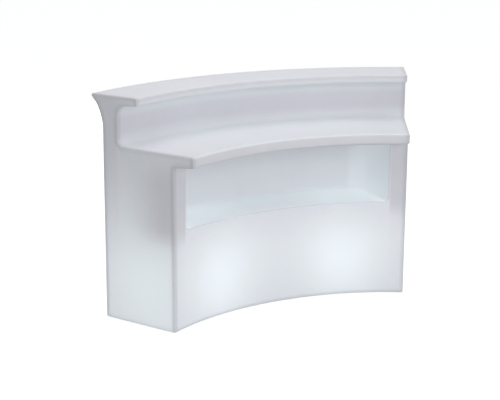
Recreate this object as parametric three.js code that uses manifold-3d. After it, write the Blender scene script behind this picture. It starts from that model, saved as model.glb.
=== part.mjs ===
// A curved, light-up bar counter: one hollow moulded body on levelling feet, with two lamp kits in wells
// under it. Millimetres, +Z up. The origin is on the floor under the middle of the counter's box, +X runs
// along the counter and +Y points to the customers. The body is drawn about the axis of the ring that six
// such counters close.

import * as THREE from 'three';
import { mergeVertices, toCreasedNormals } from 'three/addons/utils/BufferGeometryUtils.js';
import Module from 'manifold-3d';

const wasm = await Module();
wasm.setup();

// Overall
const BAR_HEIGHT = 1100;
const RIM_Z = 8; // the body's rim over the floor, with the feet screwed right in
const COUNTERS_IN_RING = 6;
const HALF_ANGLE = Math.PI / COUNTERS_IN_RING;
const WALL = 6;
const GAP = 0.3; // between pieces that touch

// Body section, as radii from the ring's axis
const WORK_EDGE_R = 1149;
const REAR_FOOT_R = 1265;
const REAR_TOP_R = 1259;
const TOP_EDGE_R = 1465;
const UPRIGHT_TOP_R = 1576;
const UPRIGHT_FOOT_R = 1583;
const WAIST_R = 1669;
const FRONT_FOOT_R = 1682;
const LIP_R = 1741;
const MID_R = 1450; // the arc on which lengths along the counter are measured

// Body section, as heights
const WORK_Z = 864;
const WORK_THICKNESS = 50;
const REAR_TOP_Z = 804;
const UPRIGHT_TOP_Z = 1053;
const TOP_THICKNESS = 38;
const FLARE_Z = 1026;

// Roundings of the body section
const EDGE_RADIUS = 9;
const END_RADIUS = 6;
const LIP_RADIUS = 6.5;
const FLARE_RADIUS = 212;
const COVE_RADIUS = 30;
const SEAT_RADIUS = 16;
const APRON_RADIUS = 12;

// Shelf recess
const SHELF_HALF_WIDTH = 552;
const SHELF_BACK_R = 1502;
const SHELF_MOUTH_R = 1100; // the cutter's open end, clear of the rear face
const SHELF_FLOOR_Z = [488, 500]; // at the cutter's open end and at the back
const SHELF_CEILING_Z = [789, 779];
const SHELF_FLOOR_RADIUS = 24;
const SHELF_CEILING_RADIUS = 24;
const SHELF_SIDE_RADIUS = 18;

// Lamp wells
const WELL_ANGLE = THREE.MathUtils.degToRad(15.5);
const WELL_R = 1470;
const WELL_DEPTH = 50;
const WELL_MOUTH_RADIUS = 128;
const WELL_TOP_RADIUS = 122;
const PORT_RADIUS = 95;

// Port plates
const PLATE_RADIUS = 114;
const PLATE_THICKNESS = 4;
const GASKET_THICKNESS = 2;
const SCREW_CIRCLE = 105;
const SCREW_COUNT = 6;
const SCREW_RADIUS = 2;
const SCREW_HOLE_RADIUS = 2.7;
const SCREW_HEAD_RADIUS = 4.5;
const SCREW_HEAD_HEIGHT = 3;
const SCREW_LENGTH = 12.5;

// Lamps and their holders
const NIPPLE_RADIUS = 5;
const NIPPLE_BORE = 3.5;
const NIPPLE_LENGTH = 27;
const NIPPLE_DROP = 10; // how far it stands out under the plate
const NUT_ACROSS_FLATS = 14;
const NUT_HEIGHT = 4;
const HOLDER_RADIUS = 22.5;
const HOLDER_HEIGHT = 57;
const SOCKET_RADIUS = 14;
const SOCKET_DEPTH = 29;
const CAP_RADIUS = 13.2;
const CAP_LENGTH = 26;
const NECK_RADIUS = 29;
const NECK_LENGTH = 30;
const GLOBE_RADIUS = 47.5;
const GLOBE_MOUTH = 28;
const GLOBE_WALL = 1.6;

// Supply entry on the left plate, and the leads
const GLAND_PLACE = -62;
const GLAND_THREAD_RADIUS = 8;
const GLAND_BORE = 5;
const GLAND_ACROSS_FLATS = 20;
const GLAND_COLLAR = 6;
const DOME_LENGTH = 14;
const SEAL_BORE = 3.6;
const BLOCK_PLACE = 58;
const BLOCK_DEPTH = 18;
const BLOCK_WIDTH = 44;
const BLOCK_HEIGHT = 18;
const BLOCK_WAYS = 3;
const LEAD_RADIUS = 3.2;

// Levelling feet
const FOOT_ANGLES = [-25, 0, 25].map((degrees) => THREE.MathUtils.degToRad(degrees));
const FOOT_INSET = 62;
const POCKET_RADIUS = 34;
const POCKET_DEPTH = 16;
const BOSS_RADIUS = 17;
const INSERT_RADIUS = 9;
const INSERT_LENGTH = 30;
const FLANGE_RADIUS = 13;
const FLANGE_THICKNESS = 2;
const STUD_RADIUS = 5;
const STUD_LENGTH = 32;
const HEX_ACROSS_FLATS = 15;
const HEX_HEIGHT = 8;
const STEM_RADIUS = 4;
const STEM_LENGTH = 9.4;
const PAD_RADIUS = 22;
const PAD_HEIGHT = 12;
const PAD_SOCKET_FLOOR = 3.7;

// How fine the round stretches are
const OUTSIDE_TOLERANCE = 0.9;
const INSIDE_TOLERANCE = 3;
const RING_STEPS = 16;
const SHELF_STEPS = 12;
const END_STEPS = 2;
const WIDE_SIDES = 28;
const ROUND_SIDES = 16;
const SMALL_SIDES = 10;
const SCREW_SIDES = 6;
const CREASE_ANGLE = 0.6;

// Derived places
const AXIS_Y = -(LIP_R + WORK_EDGE_R * Math.cos(HALF_ANGLE)) / 2;
const WELL_TOP_Z = RIM_Z + WELL_DEPTH;
const PLATE_TOP_Z = WELL_TOP_Z - GASKET_THICKNESS - 2 * GAP;
const PLATE_FOOT_Z = PLATE_TOP_Z - PLATE_THICKNESS;
const HOLDER_FOOT_Z = PLATE_TOP_Z + GAP;
const HOLDER_TOP_Z = HOLDER_FOOT_Z + HOLDER_HEIGHT;
const POCKET_TOP_Z = RIM_Z + POCKET_DEPTH;
const INSERT_TOP_Z = POCKET_TOP_Z + INSERT_LENGTH;
const FLANGE_FOOT_Z = POCKET_TOP_Z - GAP - FLANGE_THICKNESS;

// Finishes
const MILKY_PLASTIC = { color: 0xe2e4e8, roughness: 0.42, metalness: 0 };
const GREY_PLASTIC = { color: 0xb9bcc0, roughness: 0.5, metalness: 0 };
const WHITE_PLASTIC = { color: 0xf0efeb, roughness: 0.4, metalness: 0 };
const BLACK_PLASTIC = { color: 0x1d1e20, roughness: 0.45, metalness: 0 };
const BLACK_RUBBER = { color: 0x222324, roughness: 0.85, metalness: 0 };
const ZINC_STEEL = { color: 0xb4b7ba, roughness: 0.4, metalness: 1 };
const BRASS = { color: 0xc4a052, roughness: 0.35, metalness: 1 };
const OPAL = { color: 0xfbfaf4, roughness: 0.35, metalness: 0, emissive: 0xf4f6f8 };

// A point of the ring, at an angle from +Y towards +X and a radius from the ring's axis
function ringPoint(angle, radius, z) {
  return new THREE.Vector3(radius * Math.sin(angle), radius * Math.cos(angle), z);
}

// Unit vectors along the two sides that meet at corner i of a closed outline, in walking order
function sidesAt(corners, i) {
  const place = (k) => new THREE.Vector2(...corners.at(k % corners.length));
  const arriving = place(i).sub(place(i - 1)).normalize();
  const leaving = place(i + 1).sub(place(i)).normalize();
  return [arriving, leaving];
}

// Outline points of counter-clockwise corners [x, y, radius], each rounded by an arc tangent to its two sides
function roundedOutline(corners, tolerance) {
  return corners.flatMap(([x, y, radius], i) => {
    const corner = new THREE.Vector2(x, y);
    if (radius === 0) {
      return [corner];
    }
    const [arriving, leaving] = sidesAt(corners, i);
    const turn = Math.atan2(arriving.cross(leaving), arriving.dot(leaving));
    const reach = radius * Math.tan(Math.abs(turn) / 2);
    const start = corner.clone().addScaledVector(arriving, -reach);
    const left = new THREE.Vector2(-arriving.y, arriving.x);
    const centre = start.clone().addScaledVector(left, radius * Math.sign(turn));
    const step = 2 * Math.acos(Math.max(1 - tolerance / radius, 0));
    const steps = Math.ceil(Math.abs(turn) / step);
    return Array.from({ length: steps + 1 }, (_, k) => start.clone().rotateAround(centre, (turn * k) / steps));
  });
}

// The same corners moved inwards by a distance, or outwards by a negative one, with the sharp ones left sharp
function insetCorners(corners, distance) {
  return corners.map(([x, y, radius], i) => {
    const [arriving, leaving] = sidesAt(corners, i);
    const inwards = new THREE.Vector2(-arriving.y - leaving.y, arriving.x + leaving.x);
    const moved = inwards.multiplyScalar(distance / (1 + arriving.dot(leaving)));
    const convex = arriving.cross(leaving) > 0;
    const insetRadius = Math.max(convex ? radius - distance : radius + distance, 0);
    return [x + moved.x, y + moved.y, radius === 0 ? 0 : insetRadius];
  });
}

// A [radius, height] outline drawn out along the counter, with its end edges rounded, then curved by a plan
function curvedExtrusion(outline, length, endRadius, steps, plan) {
  const geometry = new THREE.ExtrudeGeometry(new THREE.Shape(outline), {
    depth: length - 2 * endRadius,
    steps,
    bevelEnabled: endRadius > 0,
    bevelThickness: endRadius,
    bevelSize: endRadius,
    bevelOffset: -endRadius,
    bevelSegments: END_STEPS,
  });
  const place = geometry.attributes.position;
  for (let i = 0; i < place.count; i += 1) {
    const along = place.getZ(i) + endRadius - length / 2;
    const [x, y] = plan(place.getX(i), along);
    place.setXYZ(i, x, y, place.getY(i));
  }
  return geometry;
}

// Plan of the body: every section is radial
function radialPlan(radius, along) {
  const { x, y } = ringPoint(along / MID_R, radius, 0);
  return [x, y];
}

// Plan of the shelf recess: arcs about the same axis between parallel sides, as the mould pulls straight out
function parallelPlan(radius, along) {
  return [along, Math.sqrt(radius ** 2 - along ** 2)];
}

// A closed solid for joining and cutting
function solid(geometry) {
  geometry.deleteAttribute('normal');
  geometry.deleteAttribute('uv');
  const merged = mergeVertices(geometry);
  const vertProperties = merged.attributes.position.array;
  const triVerts = new Uint32Array(merged.index.array);
  return new wasm.Manifold(new wasm.Mesh({ numProp: 3, vertProperties, triVerts }));
}

function geometryOf(manifold) {
  const { vertProperties, triVerts } = manifold.getMesh();
  const geometry = new THREE.BufferGeometry();
  geometry.setAttribute('position', new THREE.BufferAttribute(vertProperties, 3));
  geometry.setIndex(new THREE.BufferAttribute(triVerts, 1));
  return toCreasedNormals(geometry, CREASE_ANGLE);
}

// An upright cylinder or cone between two heights, standing at a point
function upright(at, footRadius, topRadius, footZ, topZ, sides) {
  const geometry = new THREE.CylinderGeometry(topRadius, footRadius, topZ - footZ, sides);
  geometry.rotateX(Math.PI / 2);
  return geometry.translate(at.x, at.y, (footZ + topZ) / 2);
}

// A profile of [radius, z] points turned about the Z axis
function turned(profile, sides) {
  const points = profile.map(([radius, z]) => new THREE.Vector2(radius, z));
  return new THREE.LatheGeometry(points, sides).rotateX(Math.PI / 2);
}

// A ring profile of [radius, z] points, closed on itself
function turnedRing(profile, sides) {
  return turned([...profile, profile[0]], sides);
}

function circle(x, y, radius, sides) {
  const points = new THREE.EllipseCurve(x, y, radius, radius, 0, 2 * Math.PI).getPoints(sides);
  return points.slice(0, sides);
}

// A flat piece of an outline with round holes, between two heights
function flat(outline, holes, footZ, topZ) {
  const shape = new THREE.Shape(outline);
  shape.holes = holes.map((points) => new THREE.Path(points));
  const geometry = new THREE.ExtrudeGeometry(shape, { depth: topZ - footZ, bevelEnabled: false });
  return geometry.translate(0, 0, footZ);
}

function hexagon(acrossFlats) {
  return circle(0, 0, acrossFlats / Math.sqrt(3), 6);
}

function tube(points, steps) {
  return new THREE.ExtrudeGeometry(new THREE.Shape(circle(0, 0, LEAD_RADIUS, 8)), {
    steps,
    extrudePath: new THREE.CatmullRomCurve3(points),
  });
}

function piece(name, geometry, finish) {
  const mesh = new THREE.Mesh(geometry, new THREE.MeshStandardMaterial(finish));
  mesh.name = name;
  return mesh;
}

// Places that repeat
const footPlaces = [REAR_FOOT_R + FOOT_INSET, FRONT_FOOT_R - FOOT_INSET].flatMap((radius) =>
  FOOT_ANGLES.map((angle) => ringPoint(angle, radius, 0)),
);
const screwPlaces = circle(0, 0, SCREW_CIRCLE, SCREW_COUNT);
const wells = [
  { side: 'left', angle: -WELL_ANGLE },
  { side: 'right', angle: WELL_ANGLE },
];

// The moulded body: a curved box section less its shelf recess, pockets and wells, and hollow inside
const bodyCorners = [
  [REAR_FOOT_R, RIM_Z, EDGE_RADIUS],
  [FRONT_FOOT_R, RIM_Z, EDGE_RADIUS],
  [WAIST_R, FLARE_Z, FLARE_RADIUS],
  [LIP_R, BAR_HEIGHT, LIP_RADIUS],
  [TOP_EDGE_R, BAR_HEIGHT, EDGE_RADIUS],
  [TOP_EDGE_R, BAR_HEIGHT - TOP_THICKNESS, EDGE_RADIUS],
  [UPRIGHT_TOP_R, UPRIGHT_TOP_Z, COVE_RADIUS],
  [UPRIGHT_FOOT_R, WORK_Z, SEAT_RADIUS],
  [WORK_EDGE_R, WORK_Z, EDGE_RADIUS],
  [WORK_EDGE_R, WORK_Z - WORK_THICKNESS, EDGE_RADIUS],
  [REAR_TOP_R, REAR_TOP_Z, APRON_RADIUS],
];
const shelfCorners = [
  [SHELF_MOUTH_R, SHELF_FLOOR_Z[0], 0],
  [SHELF_BACK_R, SHELF_FLOOR_Z[1], SHELF_FLOOR_RADIUS],
  [SHELF_BACK_R, SHELF_CEILING_Z[1], SHELF_CEILING_RADIUS],
  [SHELF_MOUTH_R, SHELF_CEILING_Z[0], 0],
];

// The body's outside, or its hollow when it is drawn a wall's thickness further in
function bodySolid(inset, endRadius, tolerance) {
  const outline = roundedOutline(insetCorners(bodyCorners, inset), tolerance);
  const length = 2 * (HALF_ANGLE * MID_R - inset);
  return solid(curvedExtrusion(outline, length, endRadius, RING_STEPS, radialPlan));
}

// What is taken out of the body for the shelf, or kept out of the hollow when it is drawn larger
function shelfSolid(outset) {
  const outline = roundedOutline(insetCorners(shelfCorners, -outset), OUTSIDE_TOLERANCE);
  const length = 2 * (SHELF_HALF_WIDTH + outset);
  return solid(curvedExtrusion(outline, length, SHELF_SIDE_RADIUS, SHELF_STEPS, parallelPlan));
}

// A foot's pocket from below, and the pocket's wall and threaded boss inside the hollow
function footPocket(at) {
  const pocket = solid(upright(at, POCKET_RADIUS, POCKET_RADIUS, 0, POCKET_TOP_Z, ROUND_SIDES));
  const boreRadius = INSERT_RADIUS + GAP;
  const bore = solid(upright(at, boreRadius, boreRadius, RIM_Z, INSERT_TOP_Z + GAP, SMALL_SIDES));
  return pocket.add(bore);
}

function footBoss(at) {
  const wall = POCKET_RADIUS + WALL;
  const pocketWall = solid(upright(at, wall, wall, RIM_Z, POCKET_TOP_Z + WALL, ROUND_SIDES));
  return pocketWall.add(solid(upright(at, BOSS_RADIUS, BOSS_RADIUS, RIM_Z, INSERT_TOP_Z + WALL, SMALL_SIDES)));
}

// A lamp well from below with its port and screw holes, and the well's wall inside the hollow
function lampWell(angle) {
  const at = ringPoint(angle, WELL_R, 0);
  const throughZ = WELL_TOP_Z + 2 * WALL;
  const well = solid(upright(at, WELL_MOUTH_RADIUS, WELL_TOP_RADIUS, RIM_Z - GAP, WELL_TOP_Z, WIDE_SIDES));
  const port = solid(upright(at, PORT_RADIUS, PORT_RADIUS, RIM_Z, throughZ, WIDE_SIDES));
  return screwPlaces.reduce((cut, place) => {
    const turnedPlace = place.clone().rotateAround(new THREE.Vector2(), -angle).add(at);
    const radius = SCREW_HOLE_RADIUS;
    return cut.add(solid(upright(turnedPlace, radius, radius, RIM_Z, throughZ, SCREW_SIDES)));
  }, well.add(port));
}

function wellWall(angle) {
  const at = ringPoint(angle, WELL_R, 0);
  const topZ = WELL_TOP_Z + WALL;
  return solid(upright(at, WELL_MOUTH_RADIUS + WALL, WELL_TOP_RADIUS + WALL, RIM_Z, topZ, WIDE_SIDES));
}

function bodyShell() {
  let hollow = bodySolid(WALL, 0, INSIDE_TOLERANCE).subtract(shelfSolid(WALL));
  let body = bodySolid(0, END_RADIUS, OUTSIDE_TOLERANCE).subtract(shelfSolid(0));
  for (const at of footPlaces) {
    hollow = hollow.subtract(footBoss(at));
  }
  for (const { angle } of wells) {
    hollow = hollow.subtract(wellWall(angle));
  }
  body = body.subtract(hollow);
  for (const at of footPlaces) {
    body = body.subtract(footPocket(at));
  }
  for (const { angle } of wells) {
    body = body.subtract(lampWell(angle));
  }
  return piece('body_shell', geometryOf(body), MILKY_PLASTIC);
}

// A levelling foot: insert in the body, stud screwed up into it, and a pad that the stud's stem turns in
function levellingFoot(number, at) {
  const foot = new THREE.Group();
  foot.position.copy(at);
  const bore = STUD_RADIUS + GAP;
  const insert = turnedRing(
    [
      [bore, FLANGE_FOOT_Z],
      [FLANGE_RADIUS, FLANGE_FOOT_Z],
      [FLANGE_RADIUS, FLANGE_FOOT_Z + FLANGE_THICKNESS],
      [INSERT_RADIUS, FLANGE_FOOT_Z + FLANGE_THICKNESS],
      [INSERT_RADIUS, INSERT_TOP_Z],
      [bore, INSERT_TOP_Z],
    ],
    SMALL_SIDES,
  );
  const hexTopZ = FLANGE_FOOT_Z - GAP;
  const hexFootZ = hexTopZ - HEX_HEIGHT;
  const centre = new THREE.Vector3();
  const stem = upright(centre, STEM_RADIUS, STEM_RADIUS, hexFootZ - STEM_LENGTH, hexTopZ, SMALL_SIDES);
  const shank = upright(centre, STUD_RADIUS, STUD_RADIUS, hexFootZ + 1, hexTopZ + STUD_LENGTH, SMALL_SIDES);
  const hex = flat(hexagon(HEX_ACROSS_FLATS), [], hexFootZ, hexTopZ);
  const stud = solid(hex).add(solid(stem)).add(solid(shank));
  const pad = turned(
    [
      [0, 0],
      [PAD_RADIUS - 1, 0],
      [PAD_RADIUS, 1],
      [PAD_RADIUS, 4],
      [PAD_RADIUS - 12, 8],
      [PAD_RADIUS - 13, PAD_HEIGHT],
      [STEM_RADIUS + GAP, PAD_HEIGHT],
      [STEM_RADIUS + GAP, PAD_SOCKET_FLOOR],
      [0, PAD_SOCKET_FLOOR],
    ],
    ROUND_SIDES,
  );
  foot.add(
    piece(`foot_insert_${number}`, insert, BRASS),
    piece(`foot_stud_${number}`, geometryOf(stud), ZINC_STEEL),
    piece(`foot_pad_${number}`, pad, BLACK_RUBBER),
  );
  return foot;
}

// A plate screw, head down, up through the plate and the gasket into the well's top
function plateScrew(name, place) {
  const headTopZ = PLATE_FOOT_Z - GAP;
  const headFootZ = headTopZ - SCREW_HEAD_HEIGHT;
  const profile = [
    [0, headFootZ],
    [SCREW_HEAD_RADIUS - 1.2, headFootZ],
    [SCREW_HEAD_RADIUS, headFootZ + 1.5],
    [SCREW_HEAD_RADIUS, headTopZ],
    [SCREW_RADIUS, headTopZ],
    [SCREW_RADIUS, headTopZ + SCREW_LENGTH - SCREW_RADIUS],
    [0, headTopZ + SCREW_LENGTH],
  ];
  const screw = piece(name, turned(profile, SCREW_SIDES), ZINC_STEEL);
  screw.position.set(place.x, place.y, 0);
  return screw;
}

// The plate that closes a well, with its gasket and screws
function portCover(side, extraHoles) {
  const cover = new THREE.Group();
  const screwHoles = screwPlaces.map(({ x, y }) => circle(x, y, SCREW_HOLE_RADIUS, SCREW_SIDES));
  const nippleHole = circle(0, 0, NIPPLE_RADIUS + GAP, SMALL_SIDES);
  const rim = circle(0, 0, PLATE_RADIUS, WIDE_SIDES);
  const portHole = circle(0, 0, PORT_RADIUS, WIDE_SIDES);
  const plate = flat(rim, [nippleHole, ...screwHoles, ...extraHoles], PLATE_FOOT_Z, PLATE_TOP_Z);
  const gasketFootZ = PLATE_TOP_Z + GAP;
  const gasket = flat(rim, [portHole, ...screwHoles], gasketFootZ, gasketFootZ + GASKET_THICKNESS);
  cover.add(piece(`port_plate_${side}`, plate, ZINC_STEEL), piece(`port_gasket_${side}`, gasket, BLACK_RUBBER));
  screwPlaces.forEach((place, i) => cover.add(plateScrew(`port_screw_${side}_${i + 1}`, place)));
  return cover;
}

// The lamp's glass: a thin ball with its mouth on the neck
function lampGlobe(mouthZ) {
  const centreZ = mouthZ + Math.sqrt(GLOBE_RADIUS ** 2 - GLOBE_MOUTH ** 2);
  const mouthAngle = Math.acos(GLOBE_MOUTH / GLOBE_RADIUS);
  const wallArc = (radius, from, to) => {
    const arc = new THREE.EllipseCurve(0, centreZ, radius, radius, from, to, to < from);
    return arc.getPoints(6).map(({ x, y }) => [Math.max(x, 0), y]);
  };
  const inside = wallArc(GLOBE_RADIUS - GLOBE_WALL, Math.PI / 2, -mouthAngle);
  const outside = wallArc(GLOBE_RADIUS, -mouthAngle, Math.PI / 2);
  return turned([...inside, ...outside], ROUND_SIDES);
}

// A lamp in its holder, which a threaded nipple and a nut hold on the plate
function lampAndHolder(side) {
  const kit = new THREE.Group();
  const bore = NIPPLE_RADIUS + GAP;
  const holder = turnedRing(
    [
      [bore, HOLDER_FOOT_Z],
      [HOLDER_RADIUS, HOLDER_FOOT_Z],
      [HOLDER_RADIUS, HOLDER_FOOT_Z + HOLDER_HEIGHT / 3],
      [HOLDER_RADIUS - 2.5, HOLDER_FOOT_Z + HOLDER_HEIGHT / 2.4],
      [HOLDER_RADIUS - 2.5, HOLDER_TOP_Z - 3],
      [HOLDER_RADIUS - 1.5, HOLDER_TOP_Z],
      [SOCKET_RADIUS, HOLDER_TOP_Z],
      [SOCKET_RADIUS, HOLDER_TOP_Z - SOCKET_DEPTH],
      [bore, HOLDER_TOP_Z - SOCKET_DEPTH],
    ],
    ROUND_SIDES,
  );
  const nippleFootZ = PLATE_FOOT_Z - NIPPLE_DROP;
  const nipple = turnedRing(
    [
      [NIPPLE_BORE, nippleFootZ],
      [NIPPLE_RADIUS, nippleFootZ],
      [NIPPLE_RADIUS, nippleFootZ + NIPPLE_LENGTH],
      [NIPPLE_BORE, nippleFootZ + NIPPLE_LENGTH],
    ],
    SMALL_SIDES,
  );
  const nutTopZ = PLATE_FOOT_Z - GAP;
  const nutHole = circle(0, 0, bore, SMALL_SIDES);
  const nut = flat(hexagon(NUT_ACROSS_FLATS), [nutHole], nutTopZ - NUT_HEIGHT, nutTopZ);
  const capTopZ = HOLDER_TOP_Z - GAP;
  const capFootZ = capTopZ - CAP_LENGTH;
  const cap = turned(
    [
      [0, capFootZ],
      [4.5, capFootZ],
      [6, capFootZ + 2],
      [CAP_RADIUS, capFootZ + 6],
      [CAP_RADIUS, capTopZ],
      [0, capTopZ],
    ],
    ROUND_SIDES,
  );
  const neckFootZ = HOLDER_TOP_Z;
  const neckTopZ = neckFootZ + NECK_LENGTH;
  const neck = turned(
    [
      [0, neckFootZ],
      [CAP_RADIUS, neckFootZ],
      [CAP_RADIUS + 3, neckFootZ + 5],
      [NECK_RADIUS - 4, neckTopZ - 8],
      [NECK_RADIUS, neckTopZ],
      [0, neckTopZ],
    ],
    ROUND_SIDES,
  );
  kit.add(
    piece(`lamp_holder_${side}`, holder, BLACK_PLASTIC),
    piece(`holder_nipple_${side}`, nipple, ZINC_STEEL),
    piece(`nipple_nut_${side}`, nut, ZINC_STEEL),
    piece(`lamp_cap_${side}`, cap, ZINC_STEEL),
    piece(`lamp_neck_${side}`, neck, WHITE_PLASTIC),
    piece(`lamp_globe_${side}`, lampGlobe(neckTopZ + GAP), OPAL),
  );
  return kit;
}

// The supply lead's gland: collar and thread through the plate, locknut above, and a dome nut round the seal
function supplyGland() {
  const gland = new THREE.Group();
  gland.position.set(0, GLAND_PLACE, 0);
  const centre = new THREE.Vector3();
  const collarTopZ = PLATE_FOOT_Z - GAP;
  const collarFootZ = collarTopZ - GLAND_COLLAR;
  const threadTopZ = PLATE_TOP_Z + 9;
  const boreHole = [circle(0, 0, GLAND_BORE, SMALL_SIDES)];
  const collar = solid(flat(hexagon(GLAND_ACROSS_FLATS), boreHole, collarFootZ, collarTopZ));
  const threadRim = circle(0, 0, GLAND_THREAD_RADIUS, ROUND_SIDES);
  const body = collar.add(solid(flat(threadRim, boreHole, collarFootZ, threadTopZ)));
  const nutHole = [circle(0, 0, GLAND_THREAD_RADIUS + GAP, ROUND_SIDES)];
  const nutFootZ = PLATE_TOP_Z + GAP;
  const locknut = flat(hexagon(GLAND_ACROSS_FLATS + 2), nutHole, nutFootZ, nutFootZ + 5);
  const domeTopZ = collarFootZ - GAP;
  const domeFootZ = domeTopZ - DOME_LENGTH;
  const sealRadius = GLAND_THREAD_RADIUS - 1;
  const dome = turnedRing(
    [
      [GLAND_BORE, domeFootZ],
      [GLAND_BORE + 2, domeFootZ],
      [GLAND_ACROSS_FLATS / 2 - 1, domeFootZ + 6],
      [GLAND_ACROSS_FLATS / 2, domeTopZ],
      [sealRadius + GAP, domeTopZ],
      [sealRadius + GAP, domeFootZ + 5],
      [GLAND_BORE, domeFootZ + 5],
    ],
    ROUND_SIDES,
  );
  const seal = upright(centre, sealRadius, sealRadius, domeFootZ + 5 + GAP, domeTopZ, ROUND_SIDES);
  const sealHole = upright(centre, SEAL_BORE, SEAL_BORE, domeFootZ, domeTopZ + GAP, SMALL_SIDES);
  gland.add(
    piece('gland_body', geometryOf(body), GREY_PLASTIC),
    piece('gland_locknut', locknut, GREY_PLASTIC),
    piece('gland_dome', dome, GREY_PLASTIC),
    piece('gland_seal', geometryOf(solid(seal).subtract(solid(sealHole))), BLACK_RUBBER),
  );
  return gland;
}

// A block with a wire way and a screw well for each conductor
function terminalBlock() {
  const block = new THREE.BoxGeometry(BLOCK_DEPTH, BLOCK_WIDTH, BLOCK_HEIGHT);
  const pitch = BLOCK_WIDTH / BLOCK_WAYS;
  let cut = solid(block);
  for (let way = 0; way < BLOCK_WAYS; way += 1) {
    const place = new THREE.Vector3(0, (way - (BLOCK_WAYS - 1) / 2) * pitch, 0);
    const wireWay = new THREE.CylinderGeometry(2, 2, 2 * BLOCK_DEPTH, 8).rotateZ(Math.PI / 2);
    cut = cut.subtract(solid(wireWay.translate(0, place.y, 0)));
    cut = cut.subtract(solid(upright(place, 3, 3, 0, BLOCK_HEIGHT, 8)));
  }
  const made = piece('terminal_block', geometryOf(cut), WHITE_PLASTIC);
  made.position.set(BLOCK_PLACE, 0, HOLDER_FOOT_Z + BLOCK_HEIGHT / 2);
  return made;
}

// The left kit's own lead, from the terminal block to the holder beside it
function lampLead() {
  const z = HOLDER_FOOT_Z + BLOCK_HEIGHT / 2;
  const ends = [HOLDER_RADIUS + GAP, BLOCK_PLACE - BLOCK_DEPTH / 2 - GAP];
  const points = [new THREE.Vector3(ends[0], 0, z), new THREE.Vector3(ends[1], 0, z)];
  return piece('lamp_lead', tube(points, 1), WHITE_PLASTIC);
}

// The lead between the kits: over the edge of each port, down beside the well and along the floor of the hollow
function linkLead() {
  const blockZ = HOLDER_FOOT_Z + BLOCK_HEIGHT / 2;
  const overZ = WELL_TOP_Z + WALL + LEAD_RADIUS + 3;
  const floorZ = RIM_Z + WALL + LEAD_RADIUS + 1.5;
  const descent = [
    [100, overZ],
    [130, overZ],
    [155, (overZ + floorZ) / 2],
    [178, floorZ + 3],
    [205, floorZ],
    [230, floorZ],
  ];
  const leftStart = [
    [BLOCK_PLACE + BLOCK_DEPTH / 2 + 2 * GAP, blockZ],
    [BLOCK_PLACE + BLOCK_DEPTH, blockZ],
  ];
  const rightEnd = [
    [HOLDER_RADIUS + 2 * GAP, blockZ],
    [HOLDER_RADIUS + 20, blockZ],
  ];
  const slack = 45;
  const leftPoint = ([x, z]) => ringPoint(x / WELL_R - WELL_ANGLE, WELL_R, z);
  const rightPoint = ([x, z]) => ringPoint(WELL_ANGLE - x / WELL_R, WELL_R, z);
  const points = [
    ...[...leftStart, ...descent].map(leftPoint),
    ringPoint(0, WELL_R - slack, floorZ),
    ...[...rightEnd, ...descent].reverse().map(rightPoint),
  ];
  return piece('link_lead', tube(points, 28), WHITE_PLASTIC);
}

const ring = new THREE.Group();
ring.position.y = AXIS_Y;
ring.add(bodyShell(), linkLead());
footPlaces.forEach((at, i) => ring.add(levellingFoot(i + 1, at)));
for (const { side, angle } of wells) {
  const isLeft = side === 'left';
  const glandHole = circle(0, GLAND_PLACE, GLAND_THREAD_RADIUS + GAP, ROUND_SIDES);
  const kit = new THREE.Group();
  kit.position.copy(ringPoint(angle, WELL_R, 0));
  kit.rotation.z = -angle;
  kit.add(portCover(side, isLeft ? [glandHole] : []), lampAndHolder(side));
  if (isLeft) {
    kit.add(supplyGland(), terminalBlock(), lampLead());
  }
  ring.add(kit);
}

const counter = new THREE.Group();
counter.add(ring);

export default counter;
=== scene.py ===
"""Curved light-up bar counter with a moulded shelf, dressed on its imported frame."""

import math

import bmesh
import bpy
from mathutils import Matrix, Vector


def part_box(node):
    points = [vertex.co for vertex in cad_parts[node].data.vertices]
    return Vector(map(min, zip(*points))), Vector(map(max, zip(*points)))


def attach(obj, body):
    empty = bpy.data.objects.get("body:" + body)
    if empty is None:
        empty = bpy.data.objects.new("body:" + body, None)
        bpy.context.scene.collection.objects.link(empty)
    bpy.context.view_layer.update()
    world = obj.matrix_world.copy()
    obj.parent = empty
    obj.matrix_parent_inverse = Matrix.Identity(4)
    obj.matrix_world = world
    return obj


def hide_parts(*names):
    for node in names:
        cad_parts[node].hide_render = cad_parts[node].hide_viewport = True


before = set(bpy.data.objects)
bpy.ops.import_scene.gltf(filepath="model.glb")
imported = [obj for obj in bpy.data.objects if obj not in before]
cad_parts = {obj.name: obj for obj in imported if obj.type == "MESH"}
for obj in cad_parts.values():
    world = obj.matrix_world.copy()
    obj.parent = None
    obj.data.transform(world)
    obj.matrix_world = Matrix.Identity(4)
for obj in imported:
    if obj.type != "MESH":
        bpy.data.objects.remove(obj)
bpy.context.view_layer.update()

bl_info = {
    "name": "Curved bar counter",
    "version": (1, 0, 0),
    "blender": (4, 5, 0),
    "location": "3D View > Sidebar > Counter",
    "description": "Builds a curved light-up bar counter with a moulded shelf",
    "category": "Object",
}

MM = 0.001
COUNTER = "counter"
SIDES = ("left", "right")
FEET = range(1, 7)
SCREWS = range(1, 7)

BODY_LOW, BODY_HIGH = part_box("body_shell")

# The body is a profile swept about the upright axis of the ring that six counters close
HALF_ANGLE = math.radians(30)
LIP_R = 1.741
WORK_EDGE_R = 1.149
AXIS_Y = -(LIP_R + WORK_EDGE_R * math.cos(HALF_ANGLE)) / 2
AXIS = Vector((0, AXIS_Y, 0))
# Degrees and steps of the sweep: a wide step leaves each side wall of the shelf clear
SWEEPS = ((3.3, 3), (2.0, 1), (49.4, 56), (2.0, 1), (3.3, 3))

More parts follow.
